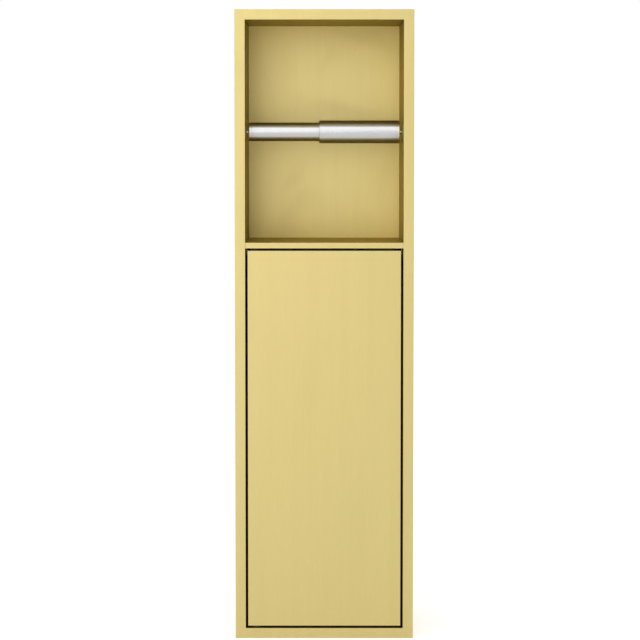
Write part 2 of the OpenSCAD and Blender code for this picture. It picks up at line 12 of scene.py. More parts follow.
import bmesh
import bpy
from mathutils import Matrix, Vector


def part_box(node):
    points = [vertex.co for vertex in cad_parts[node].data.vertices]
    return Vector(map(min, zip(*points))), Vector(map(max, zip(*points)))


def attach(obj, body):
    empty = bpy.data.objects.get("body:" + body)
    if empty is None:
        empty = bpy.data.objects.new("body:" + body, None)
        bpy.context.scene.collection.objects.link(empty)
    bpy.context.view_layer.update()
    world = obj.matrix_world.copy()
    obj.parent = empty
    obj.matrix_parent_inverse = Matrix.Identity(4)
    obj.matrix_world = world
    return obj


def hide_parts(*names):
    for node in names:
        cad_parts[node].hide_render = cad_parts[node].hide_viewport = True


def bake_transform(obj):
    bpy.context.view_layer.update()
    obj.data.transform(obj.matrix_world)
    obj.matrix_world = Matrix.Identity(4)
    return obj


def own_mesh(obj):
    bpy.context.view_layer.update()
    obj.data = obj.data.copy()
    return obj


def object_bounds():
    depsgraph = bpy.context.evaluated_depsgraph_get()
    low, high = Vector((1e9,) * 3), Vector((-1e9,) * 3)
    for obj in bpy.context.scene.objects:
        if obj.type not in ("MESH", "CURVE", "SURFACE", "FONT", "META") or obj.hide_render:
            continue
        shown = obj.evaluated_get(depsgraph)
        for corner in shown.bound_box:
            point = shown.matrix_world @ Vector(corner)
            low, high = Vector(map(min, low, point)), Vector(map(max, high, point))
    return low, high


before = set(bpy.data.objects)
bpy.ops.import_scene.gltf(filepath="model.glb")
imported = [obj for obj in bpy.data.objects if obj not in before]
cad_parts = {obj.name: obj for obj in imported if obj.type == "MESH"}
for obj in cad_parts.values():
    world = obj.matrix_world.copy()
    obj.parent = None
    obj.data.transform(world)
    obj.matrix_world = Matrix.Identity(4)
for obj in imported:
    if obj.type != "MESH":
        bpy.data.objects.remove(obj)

MM = 0.001
cad_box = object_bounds()
scene = bpy.context.scene

# %% [markdown]
# ## The camera
# The unit is photographed almost squarely from the front, from a little above its middle,
# with a long lens that keeps its sides nearly parallel. The slight downward tilt is the
# only turn, so no shift of the lens is needed.

# %% Camera
DOWN = 0.069  # radians
camera_data = bpy.data.cameras.new("camera")
camera_data.sensor_width = 36
camera_data.lens = 143.47
camera_data.clip_start = 0.05
camera = bpy.data.objects.new("camera", camera_data)
camera.location = (-0.00407, -2.4246, 0.1733)
camera.rotation_euler = (math.pi / 2 - DOWN, 0, 0)
scene.collection.objects.link(camera)
scene.camera = camera
scene.view_settings.view_transform = "Standard"
print("camera at", [round(x, 3) for x in camera.location])

# %% [markdown]
# ## The studio
# Metal shows its surroundings, so the surroundings are built first. The room is white behind
# and beside the object, dimmer behind the camera, and a large soft window stands there, up
# and to the left. That window is what the flat fronts mirror. The dim part keeps stray light
# off the side walls of the niche, so that they stay deep and warm. Nodes are added in many
# places, so one small helper does it.

# %% A helper that adds a node
def add_node(tree, kind, inputs=(), **settings):
    """Adds a node. inputs maps its sockets to plain values or to other nodes' outputs."""
    made = tree.nodes.new("ShaderNode" + kind)
    for key, value in settings.items():
        setattr(made, key, value)
    for socket, value in dict(inputs).items():
        if isinstance(value, bpy.types.NodeSocket):
            tree.links.new(value, made.inputs[socket])
        else:
            made.inputs[socket].default_value = value
    return made


# %% The white room
ROOM_BEHIND_CAMERA = 0.37
ROOM_FOR_MATT = 0.6
room = bpy.data.worlds.new("white room")
room.use_nodes = True
tree = room.node_tree
tree.nodes.clear()
scene.world = room
ray = add_node(tree, "LightPath").outputs
towards = add_node(tree, "TexCoord").outputs["Generated"]
depth = add_node(tree, "SeparateXYZ", {0: towards}).outputs["Y"]
mirrored = add_node(tree, "MapRange", {"Value": depth, "From Min": -0.6, "From Max": -0.2,
                                       "To Min": ROOM_BEHIND_CAMERA, "To Max": 1.0},
                    interpolation_type="SMOOTHSTEP").outputs[0]
shiny = add_node(tree, "Math", {0: ray["Is Glossy Ray"], 1: ray["Is Transmission Ray"]},
                 operation="MAXIMUM").outputs[0]
level = add_node(tree, "Mix", {0: shiny, 2: ROOM_FOR_MATT, 3: mirrored}).outputs[0]
level = add_node(tree, "Math", {0: level, 1: ray["Is Camera Ray"]}, operation="MAXIMUM")
light = add_node(tree, "Background", {"Color": (1, 1, 1, 1), "Strength": level.outputs[0]})
out = tree.nodes.new("ShaderNodeOutputWorld")
tree.links.new(light.outputs[0], out.inputs["Surface"])
print("room: 1 behind the object,", ROOM_BEHIND_CAMERA, "behind the camera")

# %% [markdown]
# The floor is a wide pale disc just under the object. Its own faint glow shows only to the
# camera and in reflections, which brings it to the white of the room, and the rest of its
# brightness is real light, so it still takes the object's soft shadow.

# %% The pale floor
FLOOR_GLOW = 0.55
FLOOR_IN_METAL = 0.34
bpy.ops.object.select_all(action="DESELECT")
bpy.ops.mesh.primitive_circle_add(vertices=96, radius=8, fill_type="NGON",
                                  location=(0, 0, cad_box[0][2]))
floor = bpy.context.object
floor.name = "floor"
pale = bpy.data.materials.new("pale floor")
pale.use_nodes = True
tree = pale.node_tree
ray = add_node(tree, "LightPath").outputs
glow = add_node(tree, "Math", {0: ray["Is Camera Ray"], 1: FLOOR_GLOW}, operation="MULTIPLY")
glow = add_node(tree, "Math", {0: ray["Is Glossy Ray"], 1: FLOOR_IN_METAL,
                               2: glow.outputs[0]}, operation="MULTIPLY_ADD")
shader = tree.nodes["Principled BSDF"]
shader.inputs["Base Color"].default_value = (0.8, 0.8, 0.8, 1)
shader.inputs["Roughness"].default_value = 1
shader.inputs["Specular IOR Level"].default_value = 0
shader.inputs["Emission Color"].default_value = (1, 1, 1, 1)
tree.links.new(glow.outputs[0], shader.inputs["Emission Strength"])
floor.data.materials.append(pale)
print("floor at z", round(cad_box[0][2], 3))


# %% The soft window
def soft_light(name, turn, rise, away, width, height, brightness):
    """A glowing sheet that faces the object. turn and rise are degrees from straight ahead."""
    data = bpy.data.lights.new(name, "AREA")
    data.shape = "RECTANGLE"
    data.size = width
    data.size_y = height
    data.energy = brightness * math.pi * width * height
    lamp = bpy.data.objects.new(name, data)
    scene.collection.objects.link(lamp)
    turn, rise = math.radians(turn), math.radians(rise)
    aim = Vector((0, 0, 0.1))
    lamp.location = aim + away * Vector((math.sin(turn) * math.cos(rise),
                                         -math.cos(turn) * math.cos(rise), math.sin(rise)))
    lamp.rotation_euler = (aim - lamp.location).to_track_quat("-Z", "Y").to_euler()
    return lamp


window = soft_light("window", turn=-21.6, rise=26.6, away=3.4, width=3.4, height=4.1,
                    brightness=1.38)
print("window at", [round(x, 2) for x in window.location])

# %% [markdown]
# ## Effects that the finishes share
# Three effects come back in several finishes, so each is a node group with its own inputs:
# the fine parallel scratches of brushed metal, the faint cloudy marks that hands and cloths
# leave, and the tiny grit of moulded, cast or foamed surfaces. A group gives only masks and
# heights. Each finish decides what they do to its colour, gloss and bump.

# %% An empty group
def new_group(name, inputs, outputs):
    """A shader node group with its input and output nodes."""
    group = bpy.data.node_groups.new(name, "ShaderNodeTree")
    for label, kind, start in inputs:
        socket = group.interface.new_socket(label, in_out="INPUT", socket_type=kind)
        socket.default_value = start
    for label in outputs:
        group.interface.new_socket(label, in_out="OUTPUT", socket_type="NodeSocketFloat")
    print("group:", name)
    return group, group.nodes.new("NodeGroupInput"), group.nodes.new("NodeGroupOutput")


# %% Brushed grain
brushed, start, end = new_group("brushed grain", [
    ("Place", "NodeSocketVector", (0, 0, 0)),
    ("Lines per metre", "NodeSocketVector", (1000, 1000, 50)),
], ["Height", "Tone"])
spread = add_node(brushed, "VectorMath", {0: start.outputs[0], 1: start.outputs[1]},
                  operation="MULTIPLY").outputs[0]
lines = add_node(brushed, "TexNoise", {"Vector": spread, "Scale": 1.0, "Detail": 4.0,
                                       "Roughness": 0.65}).outputs["Fac"]
wide = add_node(brushed, "VectorMath", {0: spread, "Scale": 0.06}, operation="SCALE")
bands = add_node(brushed, "TexNoise", {"Vector": wide.outputs[0], "Scale": 1.0, "Detail": 2.0})
both = add_node(brushed, "Mix", {0: 0.3, 2: lines, 3: bands.outputs["Fac"]})
tone = add_node(brushed, "MapRange", {"Value": both.outputs[0], "From Min": 0.35,
                                      "From Max": 0.65})
brushed.links.new(lines, end.inputs["Height"])
brushed.links.new(tone.outputs[0], end.inputs["Tone"])

# %% Marks of handling
handled, start, end = new_group("marks of handling", [
    ("Place", "NodeSocketVector", (0, 0, 0)),
    ("Marks per metre", "NodeSocketFloat", 14),
], ["Mask"])
cloud = add_node(handled, "TexNoise", {"Vector": start.outputs[0], "Scale": start.outputs[1],
                                       "Detail": 5.0, "Roughness": 0.55, "Distortion": 0.6})
mask = add_node(handled, "MapRange", {"Value": cloud.outputs["Fac"], "From Min": 0.48,
                                      "From Max": 0.72}, interpolation_type="SMOOTHSTEP")
handled.links.new(mask.outputs[0], end.inputs["Mask"])

# %% Fine grit
grit, start, end = new_group("fine grit", [
    ("Place", "NodeSocketVector", (0, 0, 0)),
    ("Grains per metre", "NodeSocketFloat", 2500),
], ["Height", "Pores"])
grains = add_node(grit, "TexNoise", {"Vector": start.outputs[0], "Scale": start.outputs[1],
                                     "Detail": 3.0})
cells = add_node(grit, "TexVoronoi", {"Vector": start.outputs[0], "Scale": start.outputs[1]})
pores = add_node(grit, "MapRange", {"Value": cells.outputs["Distance"], "From Min": 0.15,
                                    "From Max": 0.6})
grit.links.new(grains.outputs["Fac"], end.inputs["Height"])
grit.links.new(pores.outputs[0], end.inputs["Pores"])

# %% [markdown]
# ## Metal finishes
# The gold is a thin hard coating on brushed steel. Seen straight on it is pale and creamy.
# At a glancing angle this kind of satin coating loses light instead of turning white, and
# the shader's edge tint says so. That is why the niche looks deep although it is the same
# metal. Brushed bands shift the colour by a few parts in a hundred, and handling marks
# polish or dull the gloss. The thin edges on both sides of the door's gap are painted a
# darker gold, a painted shade, and the parts behind the gap are painted black, also a
# painted shade, so that the gap reads as one crisp dark line.

# %% Link a finish to its shader
def shade(material, colour, gloss, height, depth):
    """Links the colour, the gloss and a bump of that depth, in metres."""
    tree = material.node_tree
    bump = add_node(tree, "Bump", {"Height": height, "Distance": depth})
    shader = tree.nodes["Principled BSDF"]
    tree.links.new(colour.outputs[2], shader.inputs["Base Color"])
    tree.links.new(gloss.outputs[0], shader.inputs["Roughness"])
    tree.links.new(bump.outputs[0], shader.inputs["Normal"])
    return shader


# %% A maker for metals
GRAIN_IN_GLOSS = 0.12


def metal(name, colour, rough, lines, depth, edge_tint=(1, 1, 1), marks=0.05, contrast=0.03):
    """A metal with brushed grain. depth is the grain's depth in metres."""
    material = bpy.data.materials.new(name)
    material.use_nodes = True
    tree = material.node_tree
    place = add_node(tree, "TexCoord").outputs["Object"]
    grain = add_node(tree, "Group", {0: place, 1: lines}, node_tree=brushed).outputs
    touch = add_node(tree, "Group", {0: place}, node_tree=handled).outputs["Mask"]
    darker = (*[c * (1 - contrast) for c in colour], 1)
    lighter = (*[min(1, c * (1 + contrast)) for c in colour], 1)
    tone = add_node(tree, "Mix", {0: grain["Tone"], 6: darker, 7: lighter}, data_type="RGBA")
    gloss = add_node(tree, "Math", {0: grain["Height"], 1: GRAIN_IN_GLOSS,
                                    2: rough - GRAIN_IN_GLOSS / 2}, operation="MULTIPLY_ADD")
    gloss = add_node(tree, "Math", {0: touch, 1: marks, 2: gloss.outputs[0]},
                     operation="MULTIPLY_ADD")
    shader = shade(material, tone, gloss, grain["Height"], depth)
    shader.inputs["Metallic"].default_value = 1
    shader.inputs["Specular Tint"].default_value = (*edge_tint, 1)
    return material


# %% The metals
UPRIGHT = (1800, 1800, 60)
LEVEL = (60, 1800, 1800)
GOLD = (0.68, 0.557, 0.233)
GOLD_FOLD = (0.73, 0.607, 0.28)
# A dark gold that paints the shade of the door's gap onto the folds beside it
GOLD_GAP_PAINTED_SHADE = (0.16, 0.115, 0.03)
GOLD_EDGE_TINT = (0.36, 0.3, 0.03)
ROUND_TUBES = (2500, 40, 40)
EVERY_WAY = (500, 500, 500)
gold_upright = metal("gold, upright grain", GOLD, 0.39, UPRIGHT, 1e-5, GOLD_EDGE_TINT)
gold_level = metal("gold, level grain", GOLD, 0.39, LEVEL, 1e-5, GOLD_EDGE_TINT)
gold_fold = metal("gold, folds", GOLD_FOLD, 0.31, UPRIGHT, 3e-6, GOLD_EDGE_TINT)
gold_gap_painted_shade = metal("gold, painted shade at the gap", GOLD_GAP_PAINTED_SHADE, 0.45, UPRIGHT, 3e-6, GOLD_EDGE_TINT)
tube_steel = metal("satin tube", (0.56, 0.56, 0.565), 0.22, ROUND_TUBES, 3e-6,
                   (0.05, 0.05, 0.05))
# A brighter, greenish steel for the caps: a separate part's steel, and also a painted highlight
# for the bright rings at the tube ends
tube_rim_painted_highlight = metal("tube rims, painted highlight", (0.66, 0.68, 0.66), 0.22, ROUND_TUBES, 1e-6, (0.3, 0.3, 0.3))
pin_steel = metal("turned pins", (0.5, 0.5, 0.5), 0.25, (4000, 60, 60), 3e-6, (0.3, 0.3, 0.3))
spring_wire = metal("spring wire", (0.42, 0.42, 0.43), 0.35, (300, 300, 300), 2e-6)
zinc = metal("zinc plate", (0.55, 0.57, 0.6), 0.42, EVERY_WAY, 6e-6)
# A black that paints the shade behind the door's gap onto the stop and the latch bracket
black_painted_gap_shade = metal("black zinc plate", (0.02, 0.02, 0.022), 0.45, EVERY_WAY, 6e-6,
                   (0.1, 0.1, 0.1))
black_pin = metal("blackened pins", (0.03, 0.03, 0.03), 0.35, (60, 60, 4000), 3e-6,
                  (0.1, 0.1, 0.1))
block_metal = metal("milled blocks", (0.72, 0.73, 0.74), 0.4, (1500, 60, 60), 5e-6)
nickel = metal("nickel magnet", (0.66, 0.64, 0.6), 0.2, (600, 600, 600), 1e-6)
print("metals:", [m.name for m in bpy.data.materials if m.users == 0])

# %% [markdown]
# ## Soft and moulded finishes
# Nylon, hard plastic, foam and silicone are not metals. Their colour comes from inside, so
# the grit only breaks up the gloss and gives a slight bump, and the foam also darkens in
# its pores.

# %% A maker for moulded surfaces
GRIT_IN_GLOSS = 0.2


def moulded(name, colour, pore_colour, rough, grains, depth):
    """A plain solid colour with grit. depth is the grit's depth in metres."""
    material = bpy.data.materials.new(name)
    material.use_nodes = True
    tree = material.node_tree
    place = add_node(tree, "TexCoord").outputs["Object"]
    speckle = add_node(tree, "Group", {0: place, 1: grains}, node_tree=grit).outputs
    tone = add_node(tree, "Mix", {0: speckle["Pores"], 6: (*colour, 1), 7: (*pore_colour, 1)},
                    data_type="RGBA")
    gloss = add_node(tree, "Math", {0: speckle["Height"], 1: GRIT_IN_GLOSS,
                                    2: rough - GRIT_IN_GLOSS / 2}, operation="MULTIPLY_ADD")
    shade(material, tone, gloss, speckle["Height"], depth)
    return material


# %% The moulded finishes
nylon = moulded("black nylon", (0.022, 0.022, 0.023), (0.03, 0.03, 0.032), 0.5, 2500, 2e-5)
grey_plastic = moulded("hard grey plastic", (0.2, 0.2, 0.21), (0.17, 0.17, 0.18), 0.45, 2000,
                       2e-5)
foam = moulded("closed-cell foam", (0.1, 0.1, 0.1), (0.03, 0.03, 0.03), 0.9, 1500, 2e-4)
silicone = moulded("clear silicone", (0.62, 0.64, 0.66), (0.6, 0.62, 0.64), 0.25, 800, 5e-6)
silicone.node_tree.nodes["Principled BSDF"].inputs["Transmission Weight"].default_value = 0.6
nylon.node_tree.nodes["Principled BSDF"].inputs["Specular IOR Level"].default_value = 0.25
print("moulded finishes: nylon, plastic, foam, silicone")

# %% [markdown]
# ## Working by hand, in code
# Each piece starts as a flat sheet, a block or a single point, and is shaped in edit mode as
# a person would do it. Operators act on what is selected, so a few short helpers select
# nothing, one object or the whole mesh. One more starts a piece, and another picks faces or
# edges by where they are and which way they point.

# %% Select, and go in and out of edit mode
def select_none():
    bpy.ops.object.select_all(action="DESELECT")


def select_only(piece):
    """Selects this one object and makes it the active one."""
    select_none()
    piece.select_set(True)
    bpy.context.view_layer.objects.active = piece


def edit():
    bpy.ops.object.mode_set(mode="EDIT")


def done():
    bpy.ops.object.mode_set(mode="OBJECT")


def pick_all():
    """Picks every point, edge and face of the piece that is edited."""
    bpy.ops.mesh.select_all(action="SELECT")


# %% Start a piece and pick parts of it
def start_sheet(name, low, high, faces="-Y"):
    """A flat sheet on the side of a box that faces the way that is named."""
    turns = {"-Y": (math.pi / 2, 0, 0), "+Y": (-math.pi / 2, 0, 0), "+Z": (0, 0, 0)}
    low, high = Vector(low), Vector(high)
    side = "YZ".index(faces[1]) + 1
    low[side] = high[side] = low[side] if faces[0] == "-" else high[side]
    size = high - low
    select_none()
    bpy.ops.mesh.primitive_plane_add(size=1, location=(low + high) / 2, rotation=turns[faces])
    sheet = bpy.context.object
    sheet.name = name
    sheet.scale = (size.x, size.y if faces == "+Z" else size.z, 1)
    bpy.ops.object.transform_apply(location=True, rotation=True, scale=True)
    return sheet


def pick(kind, test):
    """Selects the faces or edges whose middle and direction pass the test. A face's
    direction is its normal, and an edge's is the way it runs."""
    data = bpy.context.object.data
    mesh = bmesh.from_edit_mesh(data)
    bpy.ops.mesh.select_mode(type=kind)
    bpy.ops.mesh.select_all(action="DESELECT")
    for item in mesh.faces if kind == "FACE" else mesh.edges:
        points = [v.co for v in item.verts]
        middle = sum(points, Vector()) / len(points)
        direction = item.normal if kind == "FACE" else (points[1] - points[0]).normalized()
        item.select_set(bool(test(middle, direction)))
    bmesh.update_edit_mesh(data)


def pull(x=0, y=0, z=0):
    """Extrudes what is picked by that much."""
    bpy.ops.mesh.extrude_region_move(TRANSFORM_OT_translate={"value": (x, y, z)})


AXES = {"X": Vector((1, 0, 0)), "Y": Vector((0, 1, 0)), "Z": Vector((0, 0, 1))}


def slice_at(along, place):
    """Cuts every face that crosses that place along X, Y or Z."""
    pick_all()
    bpy.ops.mesh.bisect(plane_co=place * AXES[along], plane_no=AXES[along])


def near(a, b):
    return abs(a - b) < 1e-5


def slanted(direction):
    """True for a face that lies along none of the three axes, as on a rounded edge."""
    return max(abs(x) for x in direction) < 0.99


def give_finish(number):
    """Gives the picked faces the piece's finish with that number, counted from 0."""
    bpy.context.object.active_material_index = number
    bpy.ops.object.material_slot_assign()


# %% [markdown]
# A modifier is added, set and applied in one go. Folded sheet gets its thickness behind the
# drawn face, and then every sharp edge is rounded by a few tenths of a millimetre. The
# rounded faces take the last finish of the piece, because a fold or a cut edge never looks
# like the flat around it: most are worn a little brighter, and those in the gap are painted
# darker, a painted shade.

# %% Modifiers, holes and the finish
def apply(piece, kind, **settings):
    """Adds one modifier, sets it and applies it."""
    modifier = piece.modifiers.new(kind, kind)
    for key, value in settings.items():
        setattr(modifier, key, value)
    bpy.context.view_layer.objects.active = piece
    bpy.ops.object.modifier_apply(modifier=modifier.name)


def thicken(piece, thickness):
    """Gives a folded sheet its thickness, behind the side it faces."""
    apply(piece, "SOLIDIFY", thickness=thickness, offset=-1, use_even_offset=True,
          use_quality_normals=True)


def round_edges(piece, width, segments=3):
    apply(piece, "BEVEL", width=width, segments=segments, limit_method="ANGLE",
          angle_limit=math.radians(40), material=len(piece.data.materials) - 1)


def cut(piece, cutter):
    """Takes the cutter's shape away from the piece."""
    apply(piece, "BOOLEAN", object=cutter, operation="DIFFERENCE", solver="EXACT")
    bpy.data.objects.remove(cutter)


def fuse(piece, part):
    """Makes the part one with the piece."""
    apply(piece, "BOOLEAN", object=part, operation="UNION", solver="EXACT")
    bpy.data.objects.remove(part)


LYING = {"X": (0, math.pi / 2, 0), "Y": (math.pi / 2, 0, 0), "Z": (0, 0, 0)}


def drill(piece, along, radius, places, length=3 * MM, sides=48):
    """Drills a hole at each place, along X, Y or Z."""
    for place in places:
        select_none()
        bpy.ops.mesh.primitive_cylinder_add(vertices=sides, radius=radius, depth=length,
                                            location=place, rotation=LYING[along])
        cut(piece, bpy.context.object)


def finish(piece, body, node=None):
    """Smooths the shading, puts the piece on the body it rides on and hides the solid node
    it stands for. With no body the piece is left free."""
    select_only(piece)
    bpy.ops.object.shade_smooth_by_angle(angle=math.radians(35))
    apply(piece, "WEIGHTED_NORMAL", keep_sharp=True)
    if body:
        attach(piece, body)
    if node:
        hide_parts(node)
    size = [round(x / MM, 1) for x in piece.dimensions]
    print(f"{piece.name}: {size} mm, {len(piece.data.polygons)} faces")
    return piece


def wear(piece, *finishes):
    """Gives the piece its finishes: the flats' first, the rounded edges' last."""
    piece.data.materials.clear()
    for material in finishes:
        piece.data.materials.append(material)


# %% [markdown]
# ## The sleeve
# The real sleeve is cut from one sheet, and its border is folded out and back in. It is drawn
# here the same way: one face for the front, an inset for the border, the middle taken out,
# the inner rim pulled back to make the four walls and the outer rim to make the lip.

# %% Sizes that the sleeve gives
SHEET = 1.2 * MM
SHELF_EDGE = 5.5 * MM
FOLD, CRISP_FOLD, CUT_EDGE = 0.3 * MM, 0.22 * MM, 0.2 * MM  # widths of rounded edges
sleeve_low, sleeve_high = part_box("housing_sleeve")
shelf_low, shelf_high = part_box("divider_shelf")
face_y = sleeve_low.y
side_x = shelf_high.x
border = sleeve_high.x - side_x
floor_z = sleeve_low.z + border
bay_roof = shelf_high.z - SHELF_EDGE
roof_z = sleeve_high.z - border
inner_back = sleeve_high.y
print("border", round(border / MM, 2), "mm, walls", round((inner_back - face_y) / MM, 1),
      "mm deep")

# %% Fold the sleeve
sleeve = start_sheet("sleeve", sleeve_low, sleeve_high)
wear(sleeve, gold_upright, gold_level, gold_fold, gold_gap_painted_shade)
edit()
pick_all()
bpy.ops.mesh.inset(thickness=border)
bpy.ops.mesh.delete(type="ONLY_FACE")
pick("EDGE", lambda m, d: near(abs(m.x), side_x) and abs(d.z) > 0.9
     or near(m.z, floor_z) or near(m.z, roof_z))
pull(y=inner_back - face_y)
pick("EDGE", lambda m, d: near(abs(m.x), sleeve_high.x) or near(abs(m.z), sleeve_high.z))
pull(y=-face_y)
for z in (shelf_high.z, bay_roof):
    slice_at("Z", z)
pick("FACE", lambda m, d: abs(d.z) > 0.9)
give_finish(1)
done()
thicken(sleeve, SHEET)
round_edges(sleeve, FOLD)
# All rounded folds first take the dark gold of painted shade; the outer folds and those at the
# shelf's strip then get the brighter fold gold
edit()
pick("FACE", lambda m, d: slanted(d) and (bay_roof < m.z < shelf_high.z
     or abs(m.x) > side_x + border / 2 or abs(m.z) > roof_z + border / 2))
give_finish(2)
done()
print("sleeve folded:", len(sleeve.data.polygons), "faces")

# %% Drill the sleeve
RIVET_HOLE, SCREW_HOLE, FIXING_HOLE = 1.65 * MM, 1.55 * MM, 2.75 * MM  # radii
PIN_CLEARANCE, BUSH_R = 2.3 * MM, 3.5 * MM
FIXING_IN, FIXING_OUT = 36 * MM, 125 * MM  # from the back, and up or down
SHELF_RIVET_Y, SHELF_RIVET_IN, SHELF_RIVET_DROP = 36 * MM, 11.2 * MM, 7.2 * MM
EAR_HEIGHT, EAR_MIDDLE = 4 * MM, 7 * MM
thick_low, thick_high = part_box("thick_tube")
spindle_y = (thick_low.y + thick_high.y) / 2
spindle_z = (thick_low.z + thick_high.z) / 2
fixing_y = inner_back - FIXING_IN
bay_middle = (floor_z + bay_roof) / 2
walls = (-side_x - SHEET / 2, side_x + SHEET / 2)
shelf_rivet_places = [(y, shelf_high.z - SHELF_RIVET_DROP)
                      for y in (SHELF_RIVET_Y, inner_back - SHELF_RIVET_IN)]
latch_low, latch_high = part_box("latch_housing")
bracket_low, bracket_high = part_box("latch_bracket")
bracket_rivet_z = (latch_high.z - EAR_HEIGHT + bracket_low.z) / 2
latch_fixing_ys = (latch_low.y + EAR_MIDDLE, latch_high.y - EAR_MIDDLE)
pivot = Vector([(a + b) / 2 for a, b in zip(*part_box("lower_hinge_pin"))])
drill(sleeve, "X", PIN_CLEARANCE, [(x, spindle_y, spindle_z) for x in walls])
drill(sleeve, "X", FIXING_HOLE, [(x, fixing_y, bay_middle + end * FIXING_OUT)
                                 for x in walls for end in (-1, 1)])
drill(sleeve, "X", RIVET_HOLE, [(x, y, z) for x in walls for y, z in shelf_rivet_places])
drill(sleeve, "X", RIVET_HOLE, [(walls[1], y, bracket_rivet_z) for y in latch_fixing_ys])
drill(sleeve, "Z", BUSH_R, [(pivot.x, pivot.y, floor_z - SHEET / 2)])
finish(sleeve, "housing", "housing_sleeve")

# %% [markdown]
# ## The back
# A flat panel closes the sleeve. It lies on the ends of the walls and is joined to them by
# short tack welds across the corner, each a low oval bead. A bead is a ball squashed to
# size, and every copy of it is fused with the panel by a Boolean union.

# %% Back panel
back_low, back_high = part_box("back_panel")
back = start_sheet("niche_back", back_low, back_high)
wear(back, gold_upright, gold_fold)
thicken(back, SHEET)
round_edges(back, FOLD)

# %% Tack welds
WELD = Vector((0.8, 1.2, 4.0)) * MM  # half the bead's size
weld_y = back_low.y - 0.1 * MM
welds = [(side * back_high.x, weld_y, z * MM) for side in (-1, 1)
         for z in range(-240, 241, 80)]
welds += [(x * MM, weld_y, side * back_high.z) for side in (-1, 1) for x in (-38, 38)]
for place in welds:
    across = abs(place[2]) > back_high.z - MM
    select_none()
    bpy.ops.mesh.primitive_uv_sphere_add(segments=20, ring_count=12, radius=1, location=place)
    bead = bpy.context.object
    bead.scale = (WELD.z, WELD.y, WELD.x) if across else WELD
    bpy.ops.object.transform_apply(location=True, rotation=True, scale=True)
    fuse(back, bead)
print("tack welds:", len(welds))
finish(back, "housing", "back_panel")

# %% [markdown]
# ## The divider
# The niche's floor and the ceiling of the bay are one folded shelf. Its front edge is folded
# down and back under, which gives the bright strip between niche and door. Flanges at the
# sides and the back carry the rivets.

# %% Fold the shelf
LIP = 20 * MM
FLANGE_FRONT = face_y + 30 * MM
shelf = start_sheet("divider", (-side_x, face_y, bay_roof),
                    (side_x, inner_back, shelf_high.z), faces="+Z")
wear(shelf, gold_level, gold_fold, gold_gap_painted_shade)
edit()
slice_at("Y", FLANGE_FRONT)
pick("EDGE", lambda m, d: near(m.y, face_y))
pull(z=bay_roof - shelf_high.z)
pull(y=LIP)
pick("EDGE", lambda m, d: near(m.z, shelf_high.z) and m.y > FLANGE_FRONT + MM
     and (near(abs(m.x), side_x) or near(m.y, inner_back)))
pull(z=shelf_low.z - shelf_high.z)
done()
thicken(shelf, SHEET)
round_edges(shelf, CRISP_FOLD)
# The rounded folds of the front lip stay dark gold, a painted shade for the gap; those at the
# top and the sides get the brighter fold gold
edit()
pick("FACE", lambda m, d: slanted(d) and (m.z > shelf_high.z - SHEET or abs(d.x) > 0.1))
give_finish(1)
done()
inner_walls = (-side_x + SHEET / 2, side_x - SHEET / 2)
drill(shelf, "X", RIVET_HOLE, [(x, y, z) for x in inner_walls for y, z in shelf_rivet_places])
drill(shelf, "Z", BUSH_R, [(pivot.x, pivot.y, bay_roof + SHEET / 2)], length=2 * MM)
finish(shelf, "housing", "divider_shelf")

# %% [markdown]
# ## The door
# The door's front is a shallow folded pan. A back sheet closes it, and two blocks inside hold
# the hinge pins. From the front only its even two-millimetre gap shows, so the folds must be
# as crisp as the border's.

# %% Fold the door's front
door_low, door_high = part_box("door_front_pan")
pan = start_sheet("door_front", (door_low.x, face_y, door_low.z), door_high)
# Every rounded fold of the door is painted dark gold, a painted shade for the gap
wear(pan, gold_upright, gold_gap_painted_shade)
edit()
pick("EDGE", lambda m, d: True)
pull(y=door_high.y - face_y)
done()
thicken(pan, SHEET)
round_edges(pan, CRISP_FOLD)
drill(pan, "Z", PIN_CLEARANCE, [(pivot.x, pivot.y, door_low.z + SHEET / 2),
                                (pivot.x, pivot.y, door_high.z - SHEET / 2)])
finish(pan, "door", "door_front_pan")

# %% [markdown]
# The back sheet is a plain plate with a slot, in which the thumb stud moves, and the holes
# of the screws and rivets. The slot's cutter is a cylinder whose lower half is pulled down.

# %% Back sheet of the door
lining_low, lining_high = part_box("door_back_sheet")
stud_low, stud_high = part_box("thumb_stud")
stud_z = (stud_low.z + stud_high.z) / 2
STUD_DROP, SLOT_R = 6.5 * MM, 1.7 * MM
SCREW_FROM_PIVOT, STRIKE_RIVET_OUT = 6.5 * MM, 7.5 * MM
END_SCREW, LOWER_SCREW, UPPER_SCREW = 6.2 * MM, 14.2 * MM, 27.2 * MM  # from the door's ends
screw_x = pivot.x + SCREW_FROM_PIVOT
screw_zs = [door_low.z + END_SCREW, door_low.z + LOWER_SCREW,
            door_high.z - UPPER_SCREW, door_high.z - END_SCREW]
strike_low, strike_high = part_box("strike_plate")
latch_x = (strike_low.x + strike_high.x) / 2
latch_z = (strike_low.z + strike_high.z) / 2
strike_rivet_xs = [latch_x + side * STRIKE_RIVET_OUT for side in (-1, 1)]
lining = start_sheet("door_lining", lining_low, lining_high, faces="+Y")
wear(lining, gold_upright, gold_fold)
LINING = lining_high.y - lining_low.y
thicken(lining, LINING)
round_edges(lining, CUT_EDGE, segments=2)
middle_y = (lining_low.y + lining_high.y) / 2
drill(lining, "Y", SCREW_HOLE, [(screw_x, middle_y, z) for z in screw_zs])
drill(lining, "Y", RIVET_HOLE, [(x, middle_y, latch_z) for x in strike_rivet_xs])
select_none()
bpy.ops.mesh.primitive_cylinder_add(vertices=32, radius=SLOT_R, depth=3 * MM,
                                    location=(pivot.x, middle_y, stud_z), rotation=LYING["Y"])
slot_tool = bpy.context.object
bpy.ops.object.transform_apply(location=True, rotation=True)
edit()
pick("EDGE", lambda m, d: m.z < stud_z - 0.05 * MM)
bpy.ops.transform.translate(value=(0, 0, -STUD_DROP))
done()
cut(lining, slot_tool)
finish(lining, "door", "door_back_sheet")
